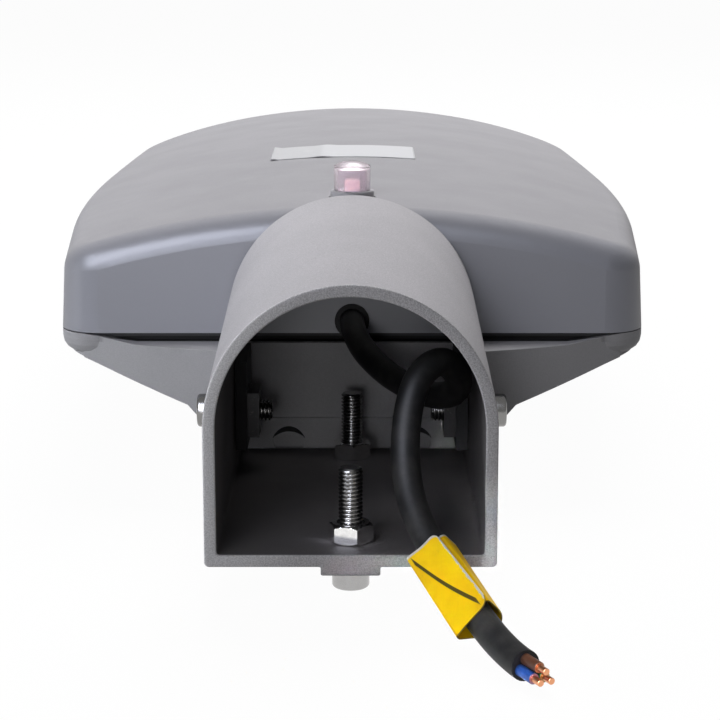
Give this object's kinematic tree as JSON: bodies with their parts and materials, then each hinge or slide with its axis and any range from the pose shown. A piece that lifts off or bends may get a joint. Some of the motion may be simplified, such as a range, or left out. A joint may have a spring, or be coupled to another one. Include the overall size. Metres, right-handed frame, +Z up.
{
  "type": "led street light head",
  "caption": "Flat street light head with a domed cover, an arched pole bracket clamped by screws from below, a light sensor on top and a short supply cable.",
  "frame": {"origin": "centre of the head's own box in plan, cable apart, on the plane of the light window's frame, which it rests on", "axes": "+Y along the head from the bracket's mouth to the nose, +Z up out of the cover, +X to the right seen from the bracket"},
  "size_m": [0.1886, 0.4818, 0.0943],
  "materials": {
    "cast_grey": "fine texture powder coat",
    "cover_grey": "smooth powder coat",
    "stainless": "bright turned",
    "galvanised": "dull zinc",
    "seal_rubber": "matt",
    "clear_plastic": "clear",
    "white_board": "solder mask",
    "phosphor": "smooth",
    "window_frame": "satin",
    "driver_alloy": "satin",
    "terminal_plastic": "moulded",
    "sensor_plastic": "moulded",
    "sensor_cell": "smooth",
    "label_paper": "satin",
    "cable_rubber": "satin",
    "tag_paper": "gloss",
    "core_brown": "smooth",
    "core_blue": "smooth",
    "core_earth": "smooth"
  },
  "bodies": {
    "root": {"pole_bracket": "cast_grey", "clamp_screw_front": "stainless", "clamp_screw_rear": "stainless", "clamp_nut_front": "stainless", "clamp_nut_rear": "stainless", "side_screw_left": "stainless", "side_screw_right": "stainless", "side_washer_left": "stainless", "side_washer_right": "stainless", "square_nut_left": "galvanised", "square_nut_right": "galvanised", "top_cover": "cover_grey", "lower_housing": "cast_grey", "cover_gasket": "seal_rubber", "cover_screws": "stainless", "led_board": "white_board", "led_chips": "phosphor", "lens_plate": "clear_plastic", "lens_seal": "seal_rubber", "lens_frame": "window_frame", "lens_frame_screws": "stainless", "driver_case": "driver_alloy", "driver_screws": "stainless", "terminal_block": "terminal_plastic", "driver_leads": "cable_rubber", "sensor_base": "sensor_plastic", "sensor_nut": "sensor_plastic", "sensor_dome": "clear_plastic", "sensor_cell": "sensor_cell", "sensor_lead": "cable_rubber", "blank_label": "label_paper", "supply_cable": "cable_rubber", "inner_cable": "cable_rubber", "core_brown": "core_brown", "core_blue": "core_blue", "core_earth": "core_earth", "cable_grommet": "seal_rubber", "cable_tag": "tag_paper", "led_lead": "cable_rubber"}
  },
  "joints": []
}
